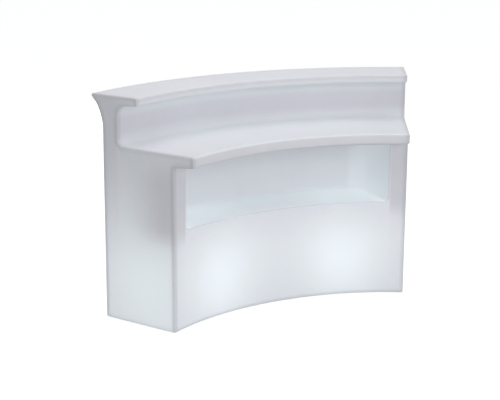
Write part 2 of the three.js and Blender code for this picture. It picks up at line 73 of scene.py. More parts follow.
# Corners of the profile: distance from the ring's axis (R), height (Z) and rounding, in metres
REAR_FOOT_R = 1.265
FRONT_FOOT_R = 1.682
FLARE_R = 1.669
FLARE_Z = 1.026
FLARE_ROUND = 0.198
LIP_TIP_R = 1.7328
LIP_DEPTH = 0.0115
LIP_ROUND = 0.0075
BAR_EDGE_R = 1.465
BAR_UNDER_Z = 1.062
COVE_TOP_R = 1.576
COVE_TOP_Z = 1.053
COVE_TOP_ROUND = 0.042
COVE_FOOT_R = 1.583
COVE_FOOT_ROUND = 0.036
WORK_UNDER_Z = 0.814
REAR_TOP_R = 1.259
REAR_TOP_Z = 0.804
REAR_TOP_ROUND = 0.012

# How faces and edges of the body are told apart: lengths in metres, but REAR_FACING is a cosine
# and CORNER_ROOM a share of the corner's radius
REAR_R = 1.262
REAR_SLACK = 0.02
REAR_CLEAR = 0.03
REAR_END_Z = 0.80
REAR_FACING = 0.98
DEEP_R = 1.30
TALL = 0.1
UPRIGHT_DRIFT = 0.01
SHELF_MARGIN = 0.01
CORNER_ROOM = 1.25
COVE_LOW = 0.90
COVE_HIGH = 1.02
COVE_LEAN = 0.02
ON_END = 1e-4
TINY = 1e-5

# Pull of the flat faces on the shading of the rounds beside them: 50 is neutral, 100 the most
FLAT_WEIGHT = 100

# Steps of roundings and sides of turned pieces
ROUND_STEPS = 5
FLOOR_STEPS = 6
CEILING_STEPS = 2
END_STEPS = 4
COVE_CUTS = 3
FLARE_STEPS = 14
PLATE_STEPS = 2
WIDE_SIDES = 64
ROUND_SIDES = 32
HOLE_SIDES = 20

# Face angles: shading breaks, edges of the shelf and edges of flat pieces
SHARP_ANGLE = math.radians(25)
SHELF_ANGLE = 0.6
PLATE_ANGLE = 1.2

# Outlines of turned pieces: radius, height above the piece's foot and rounding, in millimetres
PAD_OUTLINE = (
    (0, 1, 0), (7, 1, 0.4), (8, 0, 0.4), (12, 0, 0.2), (12.5, 0.8, 0.2), (14.5, 0.8, 0.2),
    (15, 0, 0.2), (22, 0, 1.2), (22, 4.4, 1.5), (10.5, 8, 2.5), (9, 12, 0.6), (4.3, 12, 0.4),
    (4.3, 3.7, 0), (0, 3.7, 0))
STUD_OUTLINE = (
    (0, 0, 0), (4, 0, 0.5), (4, 10.4, 0), (4.3, 10.4, 0), (4.3, 49.4, 0.8), (0, 49.4, 0))
INSERT_OUTLINE = (
    (5.3, 0, 0.3), (13, 0, 0.5), (13, 2, 0.4), (9, 2, 0.2), (9, 32.3, 0.6), (5.3, 32.3, 0.4))
SCREW_OUTLINE = (
    (2.9, 0, 0), (4.5, 0.8, 1.0), (4.5, 3, 0.2), (2, 3, 0), (2, 13.5, 0.3), (0, 15.5, 0))
HOLDER_OUTLINE = (
    (5.3, 0, 0), (22.5, 0, 1), (22.5, 19, 1.5), (20, 23.8, 1.5), (20, 53.5, 0.6), (21, 57, 0.8),
    (14, 57, 0.6), (14, 28, 0), (5.3, 28, 0))
CAP_OUTLINE = (
    (0, 0, 0), (4.5, 0, 0.6), (6, 2, 0.6), (12, 6, 0.8), (12, 8, 0.6), (13.2, 9.6, 0.8),
    (12, 11.2, 0.8), (13.2, 12.8, 0.8), (12, 14.4, 0.8), (13.2, 16, 0.8), (12, 17.6, 0.8),
    (13.2, 19.2, 0.8), (12.4, 21, 0.6), (13.2, 22.5, 0.3), (13.2, 26, 0.2), (0, 26, 0))
NECK_OUTLINE = (
    (0, 0, 0), (13.2, 0, 0.3), (16.2, 5, 3), (25, 22, 5), (29, 30, 0.6), (0, 30, 0))
NIPPLE_OUTLINE = ((3.5, 0, 0.3), (4.5, 0, 0.3), (4.5, 27, 0.3), (3.5, 27, 0.3))
GLAND_TUBE_OUTLINE = ((5, 0, 0.3), (7.4, 0, 0.3), (7.4, 19, 0.5), (5, 19, 0.3))
DOME_OUTLINE = (
    (5, 0, 0.4), (7, 0, 1), (9, 6, 2.5), (10, 14, 0.5), (7.3, 14, 0), (7.3, 5, 0.2), (5, 5, 0.2))
SEAL_OUTLINE = ((3.6, 0, 0.4), (7, 0, 0.4), (7, 8.6, 0.4), (3.6, 8.6, 0.4))

# Base of the body, in millimetres above its rim
WELL_OUTLINE = ((138, 0, 0), (128, 0, 7), (122, 50, 5), (95, 50, 0))
POCKET_OUTLINE = ((43, 0, 0), (34, 0, 6.5), (34, 16, 3), (9.3, 16, 0))

# Fittings, in millimetres
PLATE_EDGE = 0.7
SCREW_HOLE = 2.7
NIPPLE_HOLE = 5.3
GLAND_HOLE = 8.3
GLAND_BORE = 5
PORT_RADIUS = 95
GLAND_FLATS = 20
LOCKNUT_FLATS = 22
NUT_FLATS = 14
STUD_FLATS = 15
STUD_HEX_RISE = 9.4
STUD_HEX_HEIGHT = 8
GLAND_COLLAR = 6
GLOBE_RADIUS = 47.5
GLOBE_WALL = 1.6
GLOBE_SIDES = 48
GLOBE_RINGS = 32
CROSS_REACH = 2.2
CROSS_WIDTH = 0.55
CROSS_DEPTH = 1.7
CROSS_TAPER = 0.6

# Threads: core radius, crest radius, pitch and length, in millimetres
STUD_THREAD = (4.3, 5.0, 1.5, 31)
NIPPLE_THREAD = (4.5, 5.0, 1.0, 27)
GLAND_THREAD = (7.4, 8.0, 1.5, 13)
# A ridge's half widths at root and crest as shares of the pitch, and how deep its root is sunk
THREAD_ROOT = 0.42
THREAD_CREST = 0.06
THREAD_SUNK = 0.3
THREAD_STEPS = 20
THREAD_ENDS = 2

# Painted glow of the two lamps coming through the wall: a lamp's own pool, the even light of
# the lower chamber that fades between two heights, and painted light in the shelf and the cove
LAMP_SPREAD = 0.185
DIRECT_GLOW = 0.028
CHAMBER_GLOW = 0.175
CHAMBER_LOW = 0.30
CHAMBER_HIGH = 0.84
RECESS_GLOW = 0.20

# Shares of the painted recess light at the corners of the profile and in the shelf
RECESS = "recess"
UNDER_BAR_SHARE = 0.37
BAR_EDGE_SHARE = 0.62
COVE_FOOT_SHARE = 0.25
WORK_EDGE_SHARE = 0.22
SHELF_SIDE_SHARE = 0.6
SHELF_FRONT_SHARE = 0.25
SHELF_BACK_SHARE = 0.2

# The hollow beside the shelf is narrow, so less light comes through there: share that is lost,
# its reach up and down from the shelf's middle, its reach sideways and its depth, in metres
PILLAR_SHARE = 0.84
PILLAR_MIDDLE = 0.62
PILLAR_NEAR = 0.10
PILLAR_FAR = 0.24
PILLAR_INNER = 0.553
PILLAR_OUTER = 0.565
PILLAR_FRONT_R = 1.30
PILLAR_BACK_R = 1.56

# Painted shade at the rounded edges, round the shelf's mouth, on its back and along the foot:
# what is left of the painted glow and of the colour there, and where
PAINTED_SHADE = "corner"
CORNER_GLOW = 0.5
CORNER_SHADE = 0.84
CORNER_BAND = 0.022
MOUTH_SHADE = 0.6
SHELF_BACK_SHADE = 0.35
LEVEL_SHADE = 0.35
# Mesh of the net that carries that shade over the flat ends, and its reach from the axis
NET = 0.014
NET_INNER_R = 1.13
NET_OUTER_R = 1.75

# Skin of the moulding: cloudiness in metres, orange peel in millimetres, and its gloss
CLOUD_SIZE = 0.22
PEEL_SIZE = 6
PEEL_DEPTH = 0.4
PEEL_STRENGTH = 0.06
SKIN_ROUGHNESS = (0.40, 0.50)
GRAIN_STRENGTH = 0.3
GLOBE_GLOW = 0.8

# Studio: softboxes as name, place, target, width, height and power, then camera and floor
SOFTBOXES = (
    ("overhead_softbox", (0.0, -0.6, 4.2), (0, 0, 0.5), 4.0, 3.0, 54),
    ("bartender_softbox", (0.0, -5.6, 2.4), (0, 0, 0.8), 2.5, 2.0, 76),
    ("customer_softbox", (0.4, 5.6, 0.6), (0, 0, 0.6), 3.0, 1.0, 70),
)
SKY_STRENGTH = 0.39
FLOOR_LIFT = 0.75
FLOOR_REACH = 30
FLOOR_CELLS = 8
CAMERA_PLACE = Vector((-2.6991, -5.1689, 2.1033))
CAMERA_HEADING = 0.4649
CAMERA_TILT = -0.2665
CAMERA_FAR = 200
IMAGE_WIDTH = 500
FOCAL_PIXELS = 1212.7
SENSOR_MM = 36.0
WHITE = (1, 1, 1, 1)


def centre_of(node):
    """Middle of a CAD node's box."""
    low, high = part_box(node)
    return (low + high) / 2


def linear(code):
    """Linear colour of an sRGB hex value."""
    parts = [int(code[i:i + 2], 16) / 255 for i in (1, 3, 5)]
    spread = [p / 12.92 if p <= 0.04045 else ((p + 0.055) / 1.055) ** 2.4 for p in parts]
    return (*spread, 1.0)


class CounterSizes(bpy.types.PropertyGroup):
    """Sizes of the moulded body and its fittings"""

    bar_height: bpy.props.FloatProperty(
        name="Bar height", description="Height of the bar top above the floor",
        default=BODY_HIGH.z, unit="LENGTH")
    rim_height: bpy.props.FloatProperty(
        name="Rim height", description="Height of the body's bottom rim above the floor",
        default=BODY_LOW.z, unit="LENGTH")
    work_height: bpy.props.FloatProperty(
        name="Work height", description="Height of the work surface", default=0.864, unit="LENGTH")
    edge_round: bpy.props.FloatProperty(
        name="Edge rounding", description="Radius of the moulded outer edges", default=0.009,
        unit="LENGTH")
    end_round: bpy.props.FloatProperty(
        name="End rounding", description="Radius round the two flat ends", default=0.0065,
        unit="LENGTH")
    wall: bpy.props.FloatProperty(
        name="Wall", description="Wall thickness of the hollow moulding", default=0.005,
        unit="LENGTH")
    shelf_half_width: bpy.props.FloatProperty(
        name="Shelf half width", description="Half the width of the shelf recess", default=0.552,
        unit="LENGTH")
    shelf_floor: bpy.props.FloatProperty(
        name="Shelf floor", description="Height of the shelf's floor at its mouth", default=0.493,
        unit="LENGTH")
    shelf_ceiling: bpy.props.FloatProperty(
        name="Shelf ceiling", description="Height of the shelf's ceiling at its mouth",
        default=0.785, unit="LENGTH")
    shelf_back: bpy.props.FloatProperty(
        name="Shelf back", description="Radius of the shelf's back wall about the ring's axis",
        default=1.502, unit="LENGTH")
    shelf_draft: bpy.props.FloatProperty(
        name="Shelf draft", description="How far floor and ceiling close in towards the back",
        default=0.007, unit="LENGTH")
    mouth_round: bpy.props.FloatProperty(
        name="Mouth rounding", description="Radius round the shelf's mouth", default=0.0055,
        unit="LENGTH")
    shelf_fillet: bpy.props.FloatProperty(
        name="Shelf fillet", description="Radius round the shelf's floor", default=0.022,
        unit="LENGTH")
    ceiling_fillet: bpy.props.FloatProperty(
        name="Ceiling fillet", description="Radius round the shelf's ceiling", default=0.0075,
        unit="LENGTH")
    shelf_corner: bpy.props.FloatProperty(
        name="Shelf corner", description="Radius of the shelf's upright back corners",
        default=0.055, unit="LENGTH")


class CounterColours(bpy.types.PropertyGroup):
    """Finishes, as sRGB hex values"""

    milky: bpy.props.StringProperty(
        name="Milky plastic", description="Polyethylene body", default="#E7E6EC")
    cloudy: bpy.props.StringProperty(
        name="Cloudy plastic", description="Greyer clouds in the body", default="#E0DFE5")
    glow: bpy.props.StringProperty(
        name="Lamp glow", description="Light that comes through the body", default="#EEFEFE")
    thick_glow: bpy.props.StringProperty(
        name="Thick glow", description="Light that has come through more plastic",
        default="#B8E7C1")
    zinc: bpy.props.StringProperty(
        name="Zinc plate", description="Bright zinc on steel", default="#B9BBBD")
    brass: bpy.props.StringProperty(
        name="Brass", description="Turned brass", default="#C7A45C")
    rubber: bpy.props.StringProperty(
        name="Rubber", description="Moulded black rubber", default="#1E1E1F")
    black: bpy.props.StringProperty(
        name="Black plastic", description="Moulded black polyamide", default="#242526")
    grey: bpy.props.StringProperty(
        name="Grey plastic", description="Moulded grey polyamide", default="#8D9093")
    white: bpy.props.StringProperty(
        name="White plastic", description="Moulded white plastic", default="#E9E8E4")
    opal: bpy.props.StringProperty(
        name="Opal plastic", description="Diffusing lamp globe", default="#F4F4F0")
    floor: bpy.props.StringProperty(
        name="Floor", description="Studio floor", default="#D8D8D8")
    sky: bpy.props.StringProperty(
        name="Sky", description="Even light from all round", default="#F2F4F8")


def sizes():
    """The sizes that the pieces are made to."""
    return bpy.context.scene.counter_sizes


def colours():
    """The colours that the materials are made from."""
    return bpy.context.scene.counter_colours


def add(tree, kind, settings=None, **links):
    """Adds a node, sets its fields, and sets or links its inputs."""
    node = tree.nodes.new(kind)
    for field, value in (settings or {}).items():
        setattr(node, field, value)
    for name, value in links.items():
        key = int(name[1:]) if name[1:].isdigit() else name.replace("_", " ")
        if isinstance(value, bpy.types.NodeSocket):
            tree.links.new(value, node.inputs[key])
        else:
            node.inputs[key].default_value = value
    return node


def new_material(name):
    """An empty node material with its output."""
    material = bpy.data.materials.new(name)
    material.use_nodes = True
    tree = material.node_tree
    tree.nodes.clear()
    return material, tree, add(tree, "ShaderNodeOutputMaterial")


def new_piece(name, bm, body, slot, material, *nodes):
    """Turns a finished bmesh into a piece that rides on a body and stands for CAD nodes."""
    mesh = bpy.data.meshes.new(name)
    bm.to_mesh(mesh)
    bm.free()
    mesh.shade_smooth()
    mesh.set_sharp_from_angle(angle=SHARP_ANGLE)
    piece = bpy.data.objects.new(name, mesh)
    bpy.context.scene.collection.objects.link(piece)
    mesh.materials.append(material)
    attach(piece, body)
    if nodes:
        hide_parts(*nodes)
    return piece


def face_out(bm):
    """Merges doubles and points every face outwards."""
    bmesh.ops.remove_doubles(bm, verts=bm.verts, dist=TINY)
    bmesh.ops.recalc_face_normals(bm, faces=bm.faces)


def radius_of(point):
    """Distance of a point from the ring's axis."""
    return math.hypot(point.x, point.y - AXIS_Y)


def round_corner(bm, vert, radius, steps):
    """Rounds one corner of a flat outline."""
    sides = [(edge.other_vert(vert).co - vert.co).normalized() for edge in vert.link_edges]
    opening = sides[0].angle(sides[1])
    reach = radius / math.tan(opening / 2)
    bmesh.ops.bevel(bm, geom=[vert], offset=reach, offset_type="OFFSET", affect="VERTICES",
                    segments=steps, profile=0.5, material=-1, clamp_overlap=False)


def round_edges(bm, edges, radius, steps):
    """Rounds a set of edges of a solid."""
    return bmesh.ops.bevel(bm, geom=edges, offset=radius, offset_type="OFFSET",
                           affect="EDGES", segments=steps, profile=0.5, material=-1,
                           clamp_overlap=False, loop_slide=True)


def turned(bm, foot, outline, sides=ROUND_SIDES, closed=False):
    """Turns a rounded outline about the upright axis through a foot point."""
    before = set(bm.faces)
    verts = [bm.verts.new(foot + Vector((r, 0, z)) * MM) for r, z, _ in outline]
    bm.faces.new(verts)
    for vert, (_, _, rounding) in zip(verts, outline):
        if rounding:
            round_corner(bm, vert, rounding * MM, ROUND_STEPS)
    face = next(f for f in bm.faces if f not in before)
    edges = set(face.edges)
    if not closed:
        shut = next(e for e in edges if set(e.verts) == {verts[0], verts[-1]})
        edges.remove(shut)
        bmesh.ops.delete(bm, geom=[shut], context="EDGES")
    else:
        bmesh.ops.delete(bm, geom=[face], context="FACES_ONLY")
    points = {v for e in edges for v in e.verts}
    bmesh.ops.spin(bm, geom=[*edges, *points], cent=foot, axis=(0, 0, 1), dvec=(0, 0, 0),
                   angle=2 * math.pi, steps=sides, use_merge=True, use_duplicate=False)


def ring_of(bm, centre, radius, sides):
    """Edges of a new circle."""
    made = bmesh.ops.create_circle(bm, segments=sides, radius=radius * MM,
                                   matrix=Matrix.Translation(centre))
    return list({e for v in made["verts"] for e in v.link_edges})


def pierced(bm, low, high, rim, holes):
    """A flat piece with round holes, and all its edges softened.

    The rim and each hole are a centre, a radius and a number of sides.
    """
    edges = []
    for centre, radius, sides in (rim, *holes):
        edges += ring_of(bm, Vector((centre.x, centre.y, low)), radius, sides)
    made = bmesh.ops.triangle_fill(bm, use_beauty=True, edges=edges, normal=(0, 0, -1))
    faces = [item for item in made["geom"] if isinstance(item, bmesh.types.BMFace)]
    made = bmesh.ops.extrude_face_region(bm, geom=faces, use_keep_orig=True)
    top = [item for item in made["geom"] if isinstance(item, bmesh.types.BMVert)]
    bmesh.ops.translate(bm, verts=top, vec=(0, 0, high - low))
    bm.normal_update()
    bmesh.ops.recalc_face_normals(bm, faces=bm.faces)
    sharp = [e for e in bm.edges if e.is_manifold and e.calc_face_angle() > PLATE_ANGLE]
    round_edges(bm, sharp, PLATE_EDGE * MM, PLATE_STEPS)


def thread(bm, foot, core, crest, pitch, length):
    """A helical thread ridge round an upright core."""
    root = core - THREAD_SUNK
    wide = pitch * THREAD_ROOT
    narrow = pitch * THREAD_CREST
    corners = ((root, -wide), (crest, -narrow), (crest, narrow), (root, wide))
    base = foot + Vector((0, 0, pitch * MM))
    verts = [bm.verts.new(base + Vector((r, 0, z)) * MM) for r, z in corners]
    face = bm.faces.new(verts)
    turns = int(length / pitch) - THREAD_ENDS
    bmesh.ops.spin(bm, geom=[face, *face.edges, *verts], cent=foot, axis=(0, 0, 1),
                   dvec=(0, 0, pitch * MM / THREAD_STEPS), angle=2 * math.pi * turns,
                   steps=THREAD_STEPS * turns, use_merge=False, use_duplicate=False)


def at_level(item, height):
    """True for an edge or a face that lies level at a height."""
    return all(abs(v.co.z - height) < TINY for v in item.verts)


def open_base(bm, size):
    """Sinks the lamp wells and the foot pockets into the flat base."""
    rim = size.rim_height
    base = [f for f in bm.faces if at_level(f, rim)]
    bmesh.ops.delete(bm, geom=base, context="FACES")
    for side in SIDES:
        place = centre_of(f"port_plate_{side}")
        turned(bm, Vector((place.x, place.y, rim)), WELL_OUTLINE, WIDE_SIDES)
    for number in FEET:
        place = centre_of(f"foot_pad_{number}")
        turned(bm, Vector((place.x, place.y, rim)), POCKET_OUTLINE)
    bmesh.ops.remove_doubles(bm, verts=bm.verts, dist=TINY)
    open_edges = [e for e in bm.edges if e.is_boundary and at_level(e, rim)]
    bmesh.ops.triangle_fill(bm, use_beauty=True, edges=open_edges, normal=(0, 0, -1))


def body_corners(size):
    """Corners of the body's profile.

    Each one is a distance from the ring's axis, a height, a rounding, its steps, and how much
    painted recess light is added there.
    """
    edge = size.edge_round
    few = ROUND_STEPS
    return (
        (REAR_FOOT_R, size.rim_height, edge, few, 0.0),
        (FRONT_FOOT_R, size.rim_height, edge, few, 0.0),
        (FLARE_R, FLARE_Z, FLARE_ROUND, FLARE_STEPS, 0.0),
        (LIP_TIP_R, size.bar_height - LIP_DEPTH, LIP_ROUND, few, 0.0),
        (LIP_TIP_R, size.bar_height, LIP_ROUND, few, 0.0),
        (BAR_EDGE_R, size.bar_height, edge, few, 0.0),
        (BAR_EDGE_R, BAR_UNDER_Z, edge, few, BAR_EDGE_SHARE),
        (COVE_TOP_R, COVE_TOP_Z, COVE_TOP_ROUND, FLARE_STEPS, UNDER_BAR_SHARE),
        (COVE_FOOT_R, size.work_height, COVE_FOOT_ROUND, FLARE_STEPS, COVE_FOOT_SHARE),
        (WORK_EDGE_R, size.work_height, edge, few, WORK_EDGE_SHARE),
        (WORK_EDGE_R, WORK_UNDER_Z, edge, few, 0.0),
        (REAR_TOP_R, REAR_TOP_Z, REAR_TOP_ROUND, few, 0.0),
    )


def sweep_profile(bm, size):
    """Draws the rounded profile at the left end and spins it to the right end."""
    corners = body_corners(size)
    verts = [bm.verts.new((0, AXIS_Y + r, z)) for r, z, _, _, _ in corners]
    bm.faces.new(verts)
    mark = bm.verts.layers.float[RECESS]
    for vert, (_, _, rounding, steps, lit) in zip(verts, corners):
        vert[mark] = lit
        round_corner(bm, vert, rounding, steps)
    steep = [e for e in bm.edges if COVE_LOW < sum(v.co.z for v in e.verts) / 2 < COVE_HIGH
             and abs(e.verts[0].co.y - e.verts[1].co.y) < COVE_LEAN]
    wall = max(steep, key=lambda e: e.calc_length())
    made = bmesh.ops.subdivide_edges(bm, edges=[wall], cuts=COVE_CUTS, use_grid_fill=False)
    for item in made["geom_inner"]:
        if isinstance(item, bmesh.types.BMVert):
            item[mark] = 0.0
    bmesh.ops.rotate(bm, cent=AXIS, matrix=Matrix.Rotation(HALF_ANGLE, 3, "Z"), verts=bm.verts)
    last = bm.faces[:] + bm.edges[:] + bm.verts[:]
    for degrees, steps in SWEEPS:
        made = bmesh.ops.spin(bm, geom=last, cent=AXIS, axis=(0, 0, -1), dvec=(0, 0, 0),
                              angle=math.radians(degrees), steps=steps, use_merge=False,
                              use_duplicate=False)
        last = made["geom_last"]
    face_out(bm)


def on_rear_face(face, size):
    """True for the faces of the upright rear wall under the work surface."""
    middle = face.calc_center_median()
    inward = Vector((middle.x, middle.y - AXIS_Y, 0)).normalized()
    return (face.normal.dot(inward) < -REAR_FACING
            and size.rim_height + REAR_CLEAR < middle.z < REAR_END_Z
            and abs(radius_of(middle) - REAR_R) < REAR_SLACK)


def is_tall(edge):
    """True for an edge that climbs far."""
    return abs(edge.verts[0].co.z - edge.verts[1].co.z) > TALL


def cut_all(bm, faces, place, direction):
    """Cuts some faces along a plane and returns them as they are then."""
    geom = set(faces)
    for face in faces:
        geom.update(face.edges)
        geom.update(face.verts)
    made = bmesh.ops.bisect_plane(bm, geom=list(geom), dist=TINY, plane_co=place,
                                  plane_no=direction)
    return [item for item in made["geom"] if isinstance(item, bmesh.types.BMFace)]


def clear_corners(bm, size):
    """Takes the sweep's stations off the rear wall where the shelf's back corners come."""
    half = size.shelf_half_width
    edges = {e for f in bm.faces if on_rear_face(f, size) for e in f.edges}
    bmesh.ops.dissolve_edges(bm, use_verts=False, use_face_split=False, edges=[
        e for e in edges if is_tall(e)
        and abs(e.verts[0].co.x - e.verts[1].co.x) < UPRIGHT_DRIFT
        and half - CORNER_ROOM * size.shelf_corner < abs(e.verts[0].co.x) < half])
    bm.normal_update()


def sharp_in_shelf(bm, size):
    """Sharp edges in and round the shelf recess."""
    half = size.shelf_half_width + SHELF_MARGIN
    low = size.shelf_floor - SHELF_MARGIN
    high = size.shelf_ceiling + SHELF_MARGIN
    bm.normal_update()
    return [e for e in bm.edges if e.is_manifold
            and all(abs(v.co.x) < half and low < v.co.z < high for v in e.verts)
            and e.calc_face_angle() > SHELF_ANGLE]


def deep_in_shelf(bm, size):
    """Sharp edges round the floor and the ceiling of the shelf, without its mouth."""
    return [e for e in sharp_in_shelf(bm, size)
            if max(radius_of(v.co) for v in e.verts) > DEEP_R]


def sink_shelf(bm, size):
    """Pushes the shelf recess into the rear wall and returns the corners of its back."""
    half = size.shelf_half_width
    clear_corners(bm, size)
    rear = [f for f in bm.faces if on_rear_face(f, size)]
    for x in (-half, half):
        rear = cut_all(bm, rear, (x, 0, 0), (1, 0, 0))
    for z in (size.shelf_floor, size.shelf_ceiling):
        rear = cut_all(bm, rear, (0, 0, z), (0, 0, 1))
    window = [f for f in rear if abs(f.calc_center_median().x) < half
              and size.shelf_floor < f.calc_center_median().z < size.shelf_ceiling]
    lit = bm.verts.layers.float[RECESS]
    dark = bm.verts.layers.float[PAINTED_SHADE]
    for vert in {v for f in window for v in f.verts}:
        if abs(vert.co.x) > half - TINY:
            vert[lit] = SHELF_SIDE_SHARE
        elif vert.co.z < size.shelf_floor + TINY:
            vert[lit] = SHELF_FRONT_SHARE
    made = bmesh.ops.extrude_face_region(bm, geom=window)
    bmesh.ops.delete(bm, geom=window, context="FACES")
    back = [item for item in made["geom"] if isinstance(item, bmesh.types.BMVert)]
    for vert in back:
        low = vert.co.z < size.shelf_floor + TINY
        vert[lit] = 1.0 if abs(vert.co.x) > half - TINY else SHELF_BACK_SHARE
        # Painted shade on the back of the shelf
        vert[dark] = SHELF_BACK_SHADE
        vert.co.y = AXIS_Y + math.sqrt(size.shelf_back ** 2 - vert.co.x ** 2)
        vert.co.z += size.shelf_draft if low else -size.shelf_draft
    face_out(bm)
    return back


def round_shelf(bm, size, back):
    """Rounds the shelf's upright corners, its floor, its ceiling and its mouth, in that order."""
    upright = [e for e in sharp_in_shelf(bm, size) if all(v in back for v in e.verts)
               and is_tall(e)]
    round_edges(bm, upright, size.shelf_corner, 2 * ROUND_STEPS)
    middle = (size.shelf_floor + size.shelf_ceiling) / 2
    lower = [e for e in deep_in_shelf(bm, size) if e.verts[0].co.z < middle]
    round_edges(bm, lower, size.shelf_fillet, FLOOR_STEPS)
    upper = [e for e in deep_in_shelf(bm, size) if e.verts[0].co.z > middle]
    round_edges(bm, upper, size.ceiling_fillet, CEILING_STEPS)
    mouth = [e for e in sharp_in_shelf(bm, size)
             if any(on_rear_face(f, size) for f in e.link_faces)]
    made = round_edges(bm, mouth, size.mouth_round, ROUND_STEPS)
    rounding = set(made["faces"])
    lit = bm.verts.layers.float[RECESS]
    dark = bm.verts.layers.float[PAINTED_SHADE]
    bm.normal_update()
    # Painted shade on the rounding of the shelf's mouth
    for vert in made["verts"]:
        if all(f in rounding for f in vert.link_faces):
            vert[dark] = MOUTH_SHADE
    for vert in {v for f in bm.faces if on_rear_face(f, size) for v in f.verts}:
        beside = abs(vert.co.x) > size.shelf_half_width - TINY
        if beside or vert.co.z < size.shelf_floor - TINY:
            vert[lit] = 0.0


def end_distance(point):
    """Distance of a point from the nearer end plane."""
    return (point.y - AXIS_Y) * math.sin(HALF_ANGLE) - abs(point.x) * math.cos(HALF_ANGLE)


def on_end(point):
    """True for a point of the two flat ends."""
    return abs(end_distance(point)) < ON_END


def lies_on_end(item):
    """True for an edge or a face of the two flat ends."""
    return all(on_end(v.co) for v in item.verts)


def round_ends(bm, size):
    """Rounds the edges round the two flat ends."""
    bm.normal_update()
    edges = {e for f in bm.faces if lies_on_end(f) for e in f.edges}
    round_edges(bm, list(edges), size.end_round, END_STEPS)


def shade_corners(bm, size):
    """Marks painted shade near the edges and the foot, on a fine net over the flat ends."""
    cut_all(bm, bm.faces[:], (0, 0, size.rim_height + CORNER_BAND), (0, 0, 1))
    sides = []
    for edge in bm.edges:
        if lies_on_end(edge) and not all(lies_on_end(f) for f in edge.link_faces):
            start, end = (v.co.copy() for v in edge.verts)
            climb = abs(start.z - end.z) / (start - end).length
            sides.append((start, end, LEVEL_SHADE + (1 - LEVEL_SHADE) * climb))
    reaches = range(int(NET_INNER_R / NET), int(NET_OUTER_R / NET))
    heights = range(1, int(size.bar_height / NET) + 1)
    upward = Vector((0, 0, 1))
    for sign in (-1, 1):
        outward = Vector((sign * math.sin(HALF_ANGLE), math.cos(HALF_ANGLE), 0))
        places = [(AXIS + outward * r * NET, outward) for r in reaches]
        places += [(Vector((0, 0, z * NET)), upward) for z in heights]
        faces = [f for f in bm.faces if lies_on_end(f) and f.calc_center_median().x * sign > 0]
        for place, direction in places:
            faces = cut_all(bm, faces, place, direction)
    # Painted shade, strongest on the edges of the flat ends and along the foot, fading across a
    # band
    mark = bm.verts.layers.float[PAINTED_SHADE]
    for vert in bm.verts:
        if on_end(vert.co):
            near = [side for side in sides if side[0].x * vert.co.x > 0]
            shade = max(weight * falloff(point_gap(vert.co, a, b)) for a, b, weight in near)
        else:
            shade = falloff(max(0.0, min(end_distance(vert.co) - size.end_round,
                                         vert.co.z - size.rim_height - size.edge_round)))
        vert[mark] = max(vert[mark], shade)


def falloff(gap):
    """Share of a corner's shade that is left at a distance from it."""
    share = min(1.0, gap / CORNER_BAND)
    return 1.0 - share * share * (3 - 2 * share)


def point_gap(point, start, end):
    """Distance of a point from a straight side."""
    along = end - start
    share = max(0.0, min(1.0, (point - start).dot(along) / along.length_squared))
    return (start + along * share - point).length


def lamp_pools(tree, place):
    """Light that the two lamps throw on the walls near them."""
    normal = add(tree, "ShaderNodeNewGeometry").outputs["Normal"]
    pools = []
    for side in SIDES:
        lamp = centre_of(f"lamp_globe_{side}")
        ray = add(tree, "ShaderNodeVectorMath", {"operation": "SUBTRACT"}, i0=place, i1=lamp)
        far = add(tree, "ShaderNodeVectorMath", {"operation": "LENGTH"}, i0=ray.outputs[0])
        facing = add(tree, "ShaderNodeVectorMath", {"operation": "DOT_PRODUCT"},
                     i0=ray.outputs[0], i1=normal)
        hit = add(tree, "ShaderNodeMath", {"operation": "MAXIMUM"},
                  i0=facing.outputs["Value"], i1=0.0)
        square = add(tree, "ShaderNodeMath", {"operation": "MULTIPLY_ADD"},
                     i0=far.outputs["Value"], i1=far.outputs["Value"], i2=LAMP_SPREAD ** 2)
        cube = add(tree, "ShaderNodeMath", {"operation": "POWER"}, i0=square.outputs[0], i1=1.5)
        light = add(tree, "ShaderNodeMath", {"operation": "DIVIDE"},
                    i0=hit.outputs[0], i1=cube.outputs[0])
        pools.append(light.outputs[0])
    both = add(tree, "ShaderNodeMath", {"operation": "ADD"}, i0=pools[0], i1=pools[1])
    return add(tree, "ShaderNodeMath", {"operation": "MULTIPLY"},
               i0=both.outputs[0], i1=DIRECT_GLOW).outputs[0]


